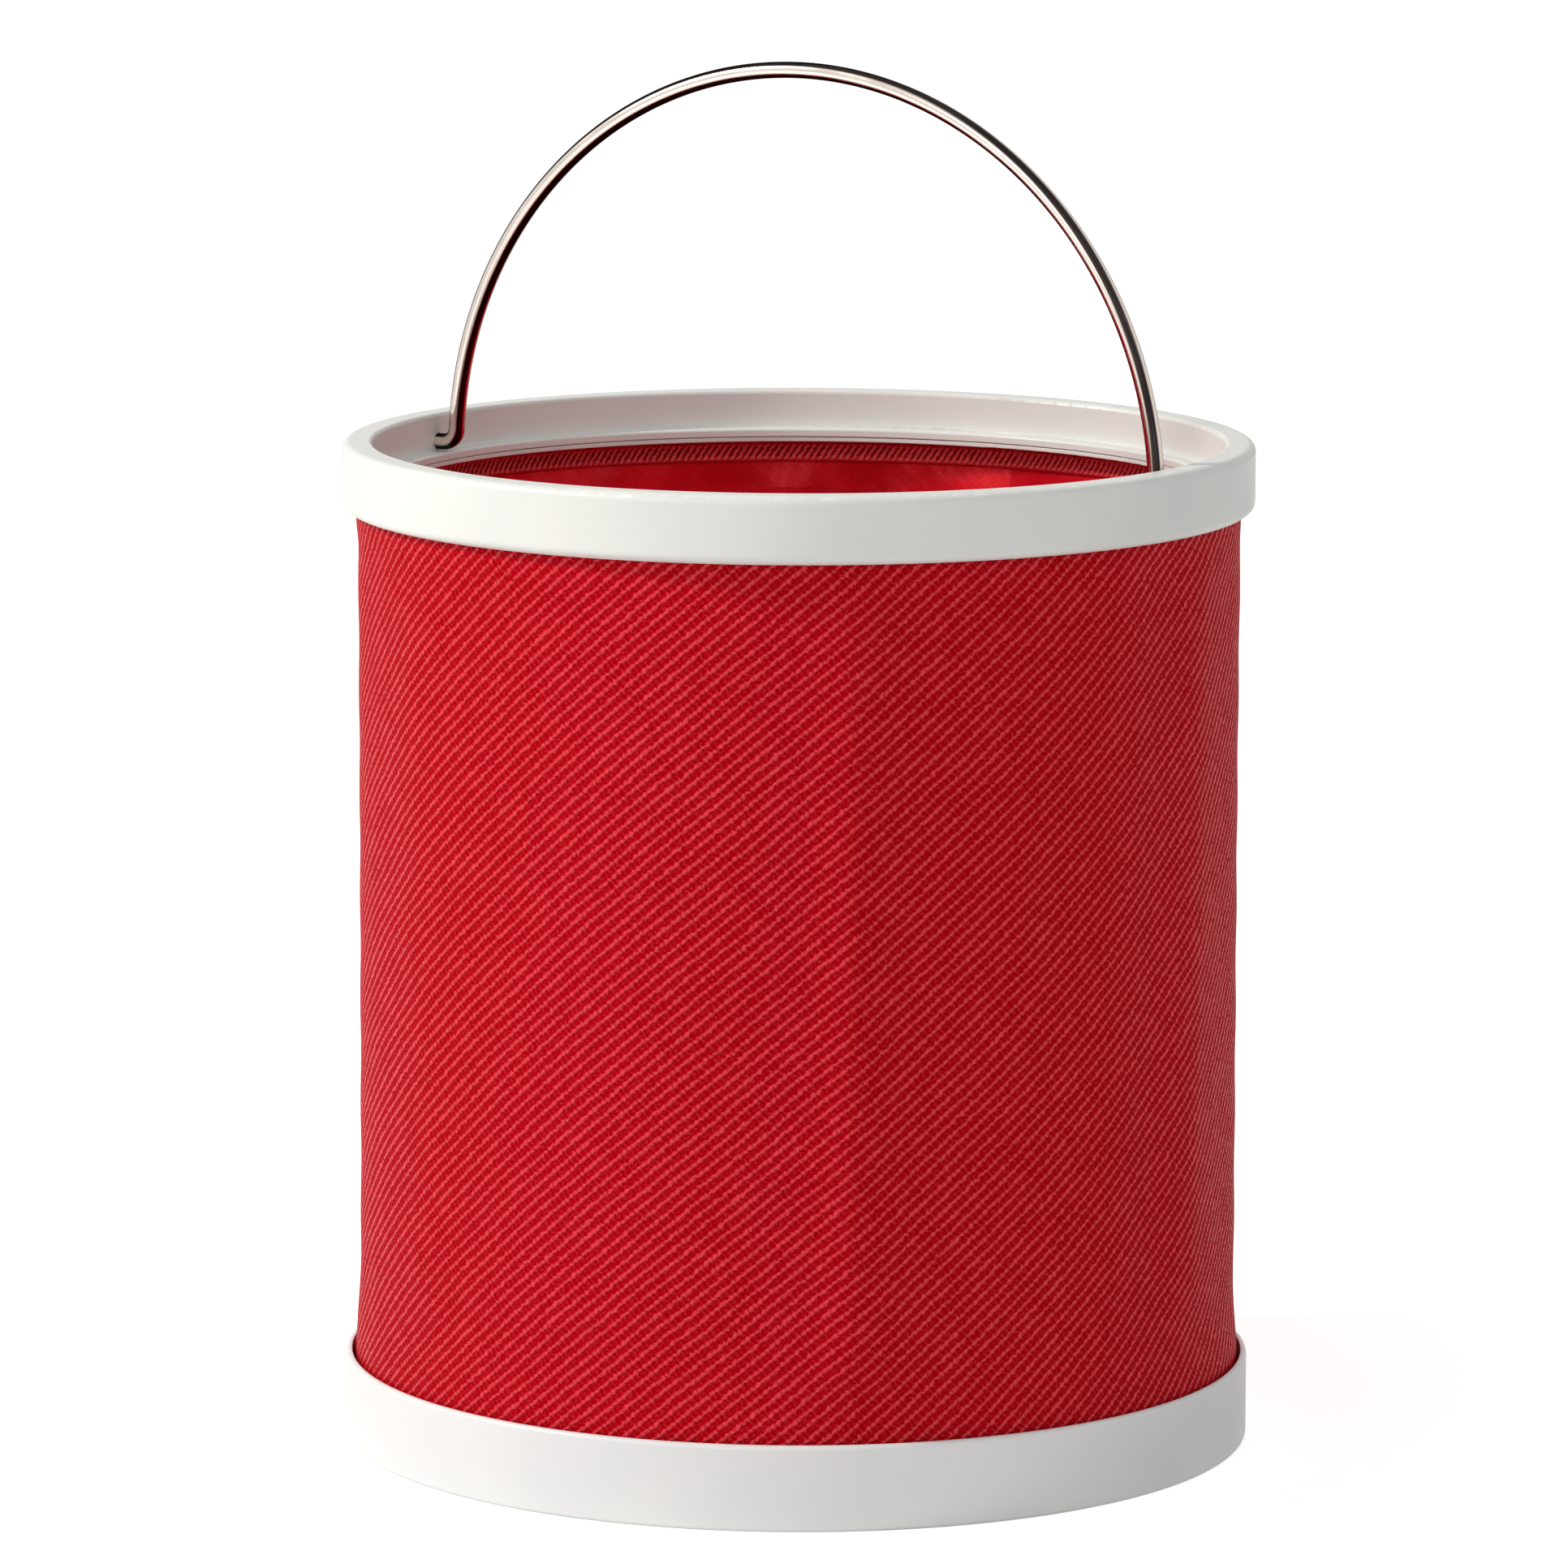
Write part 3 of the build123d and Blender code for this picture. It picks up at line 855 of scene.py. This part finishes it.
def slanted_marks_group():
    """A row of leaning marks, from a cloth place in millimetres: the first number runs along the row.

    The row lies between two heights. A mark sits where (run + height * tan(slant)) / pitch is whole, with
    run the place along the row.
    """
    graph, given, give = new_group(
        "Slanted Marks", {"Vector": None, "Pitch": 2.2, "Slant": 0.56, "Foot": 0.0, "Low": 1.2, "High": 4.6},
        ["Mark", "Between"])
    run, rise, _ = graph.separate(given["Vector"])
    lean = graph.times(graph.plus(rise, given["Foot"]), graph.math("TANGENT", given["Slant"]))
    loose = graph.times(graph.sway(given["Vector"], 0.8, 1.0), 0.55)
    phase = graph.plus(graph.over(graph.plus(run, lean), given["Pitch"]), loose)
    near = graph.wave(phase)
    above = graph.minus(rise, given["Low"])
    below = graph.minus(given["High"], rise)
    inside = graph.plus(graph.math("MINIMUM", above, below), graph.times(loose, 1.5))
    give("Mark", graph.times(graph.ramp(inside, 0.1, 0.6), graph.ramp(near, 0.50, 0.85)))
    give("Between", graph.times(graph.ramp(inside, -0.8, -0.2), graph.ramp(near, 0.85, 0.35)))


def drawn_wire_and_painted_reflection_group():
    """Painted reflections and hairlines on a drawn, polished wire, from a map of (around, along) in
    millimetres.

    Soft painted reflection bands, a given number round the wire, turn slowly along it; hairlines lie on them.
    """
    graph, given, give = new_group(
        "Drawn Wire And Painted Reflections", {"Vector": None, "Girth": 14.14, "Bands": 3.0, "Start": 0.0, "Twist": 0.0},
        ["Tone", "Height"])
    around, along, _ = graph.separate(given["Vector"])
    turns = graph.over(around, given["Girth"])
    angle = graph.times(turns, 2 * pi)
    ring = graph.combine(graph.math("COSINE", angle), graph.math("SINE", angle),
                         graph.times(along, 0.0035))
    thin = graph.noise(ring, 9.0, 3.0, 0.6)
    soft = graph.times(graph.sway(ring, 1.6, 1.0), 0.5)
    # Painted reflection: the bands below stand for dark and light surroundings mirrored in the wire; Start
    # and Twist set where they lie.
    place = graph.minus(turns, graph.math("MULTIPLY_ADD", along, given["Twist"], given["Start"]))
    dark = graph.wave(graph.math("MULTIPLY_ADD", place, given["Bands"], soft))
    bright = graph.ramp(dark, 0.74, 0.36)
    give("Tone", graph.math("MULTIPLY_ADD", graph.minus(thin, 0.5), 0.5, bright))
    give("Height", thin)


def new_material(name):
    """Empty material, with its graph and its Principled shader."""
    material = bpy.data.materials.new(name)
    material.use_nodes = True
    graph = Graph(material.node_tree)
    return material, graph, material.node_tree.nodes["Principled BSDF"].inputs


def cloth_place(graph):
    """Place on the cloth in millimetres, from the piece's own UV map."""
    uv = graph.node("ShaderNodeUVMap", {"uv_map": "cloth"}).outputs[0]
    return graph.vector("MULTIPLY", uv, (1 / MM, 1 / MM, 0.0))


def object_place(graph):
    """Place in the piece's own space in millimetres."""
    place = graph.node("ShaderNodeTexCoord").outputs["Object"]
    return graph.vector("MULTIPLY", place, (1 / MM, 1 / MM, 1 / MM))


def scaled(colour, shares):
    """Opaque colour whose channels are multiplied by one share, or by one each."""
    return (*np.multiply(colour[:3], shares), 1)


def weave_of(graph, cloth, place, **finish):
    """The weave at the cloth's own pitches and angles."""
    return graph.place_group(
        "Twill Weave", Vector=place, Rib_Pitch=cloth.rib_pitch / MM, Rib_Angle=cloth.rib_angle,
        Cross_Pitch=cloth.cross_pitch / MM, Cross_Angle=cloth.cross_angle, **finish)


# ---------------------------------------------------------------- finishes

def ribbed_cloth(cloth):
    """Outside of the tube: woven slanting ribs, pale on their crests and deep red between. Both tones are
    partly the weave's own and partly painted light: painted sheen on the crests, painted shade in the
    grooves.
    """
    material, graph, shader = new_material("ribbed_cloth")
    place = cloth_place(graph)
    weave = weave_of(graph, cloth, place, Wander=0.22, Beads=0.42, Fray=1.2)
    grain = graph.place_group("Fine Grain", Vector=place, Size=0.33, Drift=60.0)
    # Painted sheen and shade: the crest colour where the weave stands high, the darker groove colour where it
    # lies low.
    colour = graph.mix(weave["Crest"], tuple(cloth.groove_with_painted_shade), tuple(cloth.crest))
    colour = graph.mix(graph.ramp(grain["Height"], 0.30, 0.70, 0.0, 0.20), colour, tuple(cloth.groove_with_painted_shade))
    colour = graph.mix(graph.ramp(grain["Tone"], 0.3, 0.7, 0.0, 0.06), colour, tuple(cloth.groove_with_painted_shade))
    graph.fill(
        shader, Base_Color=colour, Roughness=graph.ramp(weave["Height"], 0.1, 0.9, 0.58, 0.44),
        Normal=graph.bump(weave["Height"], 0.65 * MM), Coat_Weight=graph.times(weave["Crest"], 0.64),
        Coat_Roughness=0.38, Metallic=0.2, Specular_IOR_Level=0.0)
    return material


def coated_cloth(name, cloth, gloss, place_of):
    """Waterproof coating: smooth and glossy, with soft puckers and a faint print of the weave."""
    material, graph, shader = new_material(name)
    place = place_of(graph)
    grain = graph.place_group("Fine Grain", Vector=place, Size=0.6, Drift=26.0)
    weave = weave_of(graph, cloth, place, Wander=0.20, Beads=0.62, Fray=0.5)
    puckers = graph.noise(graph.vector("MULTIPLY", place, (1.0, 0.45, 1.0)), 0.085, 2.0)
    dark = scaled(cloth.coating, 0.72)
    smoother = 0.14 * gloss
    soft = graph.bump(puckers, 2.2 * MM)
    print_through = graph.bump(weave["Height"], 0.035 * MM, normal=soft)
    graph.fill(
        shader, Base_Color=graph.mix(graph.ramp(grain["Tone"], 0.3, 0.7), dark, tuple(cloth.coating)),
        Roughness=graph.ramp(grain["Tone"], 0.25, 0.75, 0.40 - smoother, 0.50 - smoother),
        Normal=graph.bump(grain["Height"], 0.05 * MM, normal=print_through),
        Specular_IOR_Level=0.36, Specular_Tint=(1.0, 0.5, 0.5, 1), Metallic=0.1 * gloss)
    return material


def tape_cloth(name, cloth, roughness, between, turned, **row):
    """Woven tape under a thin coating: fine slanting ribs and a row of leaning marks, coloured darker as
    painted shade in their recesses.

    The row runs round the bucket, or up both sides of the tape when it is turned; between is the colour
    between its marks, which for the hem is the thread's colour with painted light.
    """
    material, graph, shader = new_material(name)
    place = cloth_place(graph)
    grain = graph.place_group("Fine Grain", Vector=place, Size=0.4, Drift=22.0)
    across, along, _ = graph.separate(place)
    rib = graph.wave(graph.over(graph.plus(across, along), 0.9))
    weft = graph.wave(graph.over(graph.minus(across, along), 0.9))
    weave = graph.times(rib, weft)
    run = graph.combine(along, graph.math("ABSOLUTE", across), 0.0) if turned else place
    marks = graph.place_group("Slanted Marks", Vector=run, **row)
    dark = scaled(cloth.tape, 0.62)
    light = tuple(min(1.0, channel * 1.25 + 0.01) for channel in cloth.tape[:3]) + (1,)
    worn = graph.ramp(grain["Tone"], 0.3, 0.7, 0.12, 0.34)
    colour = graph.mix(graph.plus(worn, graph.times(weave, 0.55)), dark, light)
    # Between the marks the colour goes to the between colour: for the hem, the thread's colour made paler as
    # painted light.
    raised = graph.mix(grain["Height"], tuple(between), light)
    colour = graph.mix(marks["Between"], colour, raised)
    fine = graph.bump(graph.minus(weave, graph.times(marks["Mark"], 2.0)), 0.12 * MM)
    # Painted shade: the marks, which are recessed stitch holes and pressed weld marks, are coloured darker.
    graph.fill(
        shader, Base_Color=graph.mix(marks["Mark"], colour, scaled(cloth.tape, 0.45)),
        Roughness=graph.ramp(grain["Height"], 0.3, 0.7, roughness, roughness + 0.12),
        Normal=graph.bump(grain["Height"], 0.06 * MM, normal=fine),
        Specular_IOR_Level=0.3, Specular_Tint=(1.0, 0.6, 0.6, 1), Metallic=0.1)
    return material


def moulded_plastic(name, colour, wear, roughness, rubbed_heights):
    """Moulded plastic: a fine satin skin, a slow drift of tone, rubbed edges and faint scuffs."""
    material, graph, shader = new_material(name)
    place = object_place(graph)
    skin = graph.place_group("Fine Grain", Vector=place, Size=0.45, Drift=38.0)
    scuffs = graph.place_group("Scuffs", Vector=place, Length=16.0, Amount=wear)["Mask"]
    rubbed = [
        graph.place_group("Edge Rub", Vector=place, Edge_Height=height / MM, Reach=1.6, Amount=wear)["Mask"]
        for height in rubbed_heights]
    worn = graph.math("MAXIMUM", scuffs, graph.most(rubbed))
    cool = scaled(colour, (0.955, 0.965, 0.975))
    dull = scaled(colour, (0.80, 0.79, 0.76))
    tone = graph.mix(graph.ramp(skin["Tone"], 0.3, 0.7), tuple(colour), cool)
    base = graph.ramp(skin["Tone"], 0.3, 0.7, roughness, roughness + 0.07)
    fine = graph.bump(skin["Height"], 0.012 * MM)
    graph.fill(
        shader, Base_Color=graph.mix(graph.times(worn, 0.6), tone, dull),
        Roughness=graph.math("MULTIPLY_ADD", worn, 0.25, base),
        Normal=graph.bump(graph.times(worn, -1.0), 0.02 * MM, normal=fine), Specular_IOR_Level=0.45)
    return material


def polished_steel(wire):
    """Drawn and polished steel: painted reflections as light and dark bands along the wire, faint hairlines
    and smudges.
    """
    material, graph, shader = new_material("polished_steel")
    place = cloth_place(graph)
    hairlines_and_painted_reflection = graph.place_group("Drawn Wire And Painted Reflections", Vector=place, Bands=3.0, Start=0.625, Twist=-0.00022)
    smudge = graph.place_group("Fine Grain", Vector=place, Size=0.3, Drift=14.0)
    # Painted reflection: the base colour runs between the dark and light reflection colours across the bands.
    graph.fill(
        shader, Base_Color=graph.mix(hairlines_and_painted_reflection["Tone"], tuple(wire.dark), tuple(wire.bright)),
        Roughness=graph.ramp(smudge["Tone"], 0.3, 0.75, 0.12, 0.26),
        Normal=graph.bump(hairlines_and_painted_reflection["Height"], 0.012 * MM), Metallic=1.0, Specular_Tint=(0.35, 0.33, 0.32, 1))
    return material


class WASH_BUCKET_OT_rings(bpy.types.Operator):
    """Gives the moulded rings and the base plate their finishes."""
    bl_idname = "wash_bucket.rings"
    bl_label = "Ring Finishes"

    def execute(self, context):
        plastic = context.scene.wash_bucket.plastic
        finishes = {
            "rim_ring": ("rim_plastic", plastic.rim, 0.30, (RIM_HIGH, RIM_LOW)),
            "rim_clamp_ring": ("rim_clamp_plastic", plastic.rim, 0.36, (CLAMP_LOW,)),
            "base_ring": ("base_plastic_band", plastic.base, 0.32, (0.0, BAND_HIGH)),
            "base_clamp_ring": ("base_clamp_plastic", plastic.base, 0.36, (BAND_HIGH,)),
            "base_plate": ("base_plate_plastic", plastic.base, 0.42, heights("base_plate")),
        }
        for node, (name, colour, roughness, edges) in finishes.items():
            mesh = frame["nodes"][node].data
            mesh.materials.clear()
            mesh.materials.append(moulded_plastic(name, colour, plastic.wear, roughness, edges))
        return {"FINISHED"}


# ---------------------------------------------------------------- stage

MIRRORED = 0.45  # how much of the seen white a reflection shows, over the even light


def seen_directly(graph):
    """1 for rays that show the surroundings, less for reflections of them and 0 for rays that light."""
    path = graph.node("ShaderNodeLightPath").outputs
    mirrored = graph.times(path["Is Glossy Ray"], MIRRORED)
    return graph.most([path["Is Camera Ray"], mirrored, path["Is Transmission Ray"]])


def bare_graph(block):
    """Graph of a material's or a world's node tree, emptied."""
    block.use_nodes = True
    block.node_tree.nodes.clear()
    return Graph(block.node_tree)


class WASH_BUCKET_OT_stage(bpy.types.Operator):
    """Makes the pale floor, the white surroundings, the soft lamps and the camera."""
    bl_idname = "wash_bucket.stage"
    bl_label = "Stage"

    FLOOR_REACH, FLOOR_SIDES = 7.0, 64
    FLOOR_LIFT = 0.58  # what the floor adds where it is seen, so that only shadows show on it
    TARGET = (0.0, 0.0, 0.16)  # where the lamps aim
    SENSOR_W = 36.0  # in millimetres, as the lens is
    NEAR, FAR = 0.1, 50.0  # what the camera sees lies between these distances
    # Lamps: azimuth from the camera and elevation in degrees, distance, width and height, colour
    KEY = (-81.6, 37, 2.4, 0.30, 0.30, (1.0, 0.965, 0.92))
    FILL = (-28, 22, 2.4, 1.6, 1.2, (1.0, 0.99, 0.98))

    def lamp(self, name, azimuth, strength, aim):
        """Area lamp that makes a white surface facing it at the target as bright as strength.

        A small lamp of power P lights what faces it at a distance d by P / (pi d^2), and a white matt
        surface shows that light divided by pi.
        """
        turn, rise, distance, width, height, colour = aim
        direction = azimuth + radians(turn)
        light = bpy.data.lights.new(name, "AREA")
        light.shape = "RECTANGLE"
        light.size, light.size_y = width, height
        light.energy = strength * pi ** 2 * distance ** 2
        light.color = colour
        lamp = new_object(name, light)
        up = radians(rise)
        away = Vector((sin(direction) * cos(up), -cos(direction) * cos(up), sin(up)))
        lamp.location = Vector(self.TARGET) + away * distance
        lamp.rotation_euler = away.to_track_quat("Z", "Y").to_euler()

    def floor(self, stage):
        """Round floor that shows shadows only, from above."""
        turn = np.linspace(0, 2 * pi, self.FLOOR_SIDES, endpoint=False)
        rim = ring_points(self.FLOOR_REACH, turn, 0.0)
        mesh = bpy.data.meshes.new("ground")
        mesh.from_pydata(rim.tolist(), [], [list(range(self.FLOOR_SIDES))])
        material = bpy.data.materials.new("ground")
        graph = bare_graph(material)
        matt = graph.node("ShaderNodeBsdfDiffuse", Color=(*stage.ground, 1)).outputs[0]
        lift = graph.times(seen_directly(graph), self.FLOOR_LIFT)
        glow = graph.node("ShaderNodeEmission", Color=(1, 1, 1, 1), Strength=lift).outputs[0]
        both = graph.node("ShaderNodeAddShader")
        graph.put(both.inputs[0], matt)
        graph.put(both.inputs[1], glow)
        graph.node("ShaderNodeOutputMaterial", Surface=both.outputs[0])
        mesh.materials.append(material)
        ground = new_object("ground", mesh)

    def surroundings(self, stage):
        """White where it is seen, and an even light otherwise."""
        world = bpy.data.worlds.new("surroundings")
        graph = bare_graph(world)
        strength = graph.ramp(seen_directly(graph), 0.0, 1.0, stage.ambient, 1.0, smooth=False)
        sky = graph.node("ShaderNodeBackground", Color=(1, 1, 1, 1), Strength=strength).outputs[0]
        graph.node("ShaderNodeOutputWorld", Surface=sky)
        bpy.context.scene.world = world

    def camera(self, stage):
        """Camera at the level distance and height, looking down by the pitch."""
        data = bpy.data.cameras.new("camera")
        data.lens, data.sensor_width = stage.lens, self.SENSOR_W
        data.clip_start, data.clip_end = self.NEAR, self.FAR
        camera = new_object("camera", data)
        turn = Matrix.Rotation(stage.azimuth, 4, "Z")
        stand = Matrix.Translation((stage.side_step, -stage.distance, stage.height))
        look = Matrix.Rotation(pi / 2 - stage.pitch, 4, "X") @ Matrix.Rotation(stage.roll, 4, "Z")
        camera.matrix_world = turn @ stand @ look
        bpy.context.scene.camera = camera

    def execute(self, context):
        stage = context.scene.wash_bucket.stage
        context.scene.view_settings.view_transform = "Standard"
        self.floor(stage)
        self.surroundings(stage)
        self.lamp("key_lamp", stage.azimuth, stage.key, self.KEY)
        self.lamp("fill_lamp", stage.azimuth, stage.fill, self.FILL)
        self.camera(stage)
        return {"FINISHED"}


# ---------------------------------------------------------------- add-on

OPERATORS = (
    WASH_BUCKET_OT_seam_tape,
    WASH_BUCKET_OT_hem,
    WASH_BUCKET_OT_wall,
    WASH_BUCKET_OT_floor,
    WASH_BUCKET_OT_bail,
    WASH_BUCKET_OT_rings,
    WASH_BUCKET_OT_stage,
)
EFFECTS = (
    twill_weave_group, fine_grain_group, scuffs_group, edge_rub_group, slanted_marks_group,
    drawn_wire_and_painted_reflection_group)


class WASH_BUCKET_PT_panel(bpy.types.Panel):
    """Lists the bucket's pieces and the values that a user would change."""
    bl_idname = "WASH_BUCKET_PT_panel"
    bl_label = "Wash Bucket"
    bl_space_type = "VIEW_3D"
    bl_region_type = "UI"
    bl_category = "Wash Bucket"

    def draw(self, context):
        settings = context.scene.wash_bucket
        for group in (settings.cloth, settings.plastic, settings.wire, settings.stage):
            box = self.layout.box()
            for name in group.__annotations__:
                box.prop(group, name)
        for operator in OPERATORS:
            self.layout.operator(operator.bl_idname)


CLASSES = (
    WASH_BUCKET_cloth,
    WASH_BUCKET_plastic,
    WASH_BUCKET_wire,
    WASH_BUCKET_stage,
    WASH_BUCKET_settings,
    *OPERATORS,
    WASH_BUCKET_PT_panel,
)


def register():
    """Registers the classes and hangs the settings on the scene."""
    for item in CLASSES:
        bpy.utils.register_class(item)
    bpy.types.Scene.wash_bucket = bpy.props.PointerProperty(type=WASH_BUCKET_settings)


def unregister():
    """Takes the settings and the classes away again."""
    del bpy.types.Scene.wash_bucket
    for item in reversed(CLASSES):
        bpy.utils.unregister_class(item)


def main():
    register()
    for make_effect in EFFECTS:
        make_effect()
    for operator in OPERATORS:
        family, name = operator.bl_idname.split(".")
        getattr(getattr(bpy.ops, family), name)()


if __name__ == "__main__":
    main()
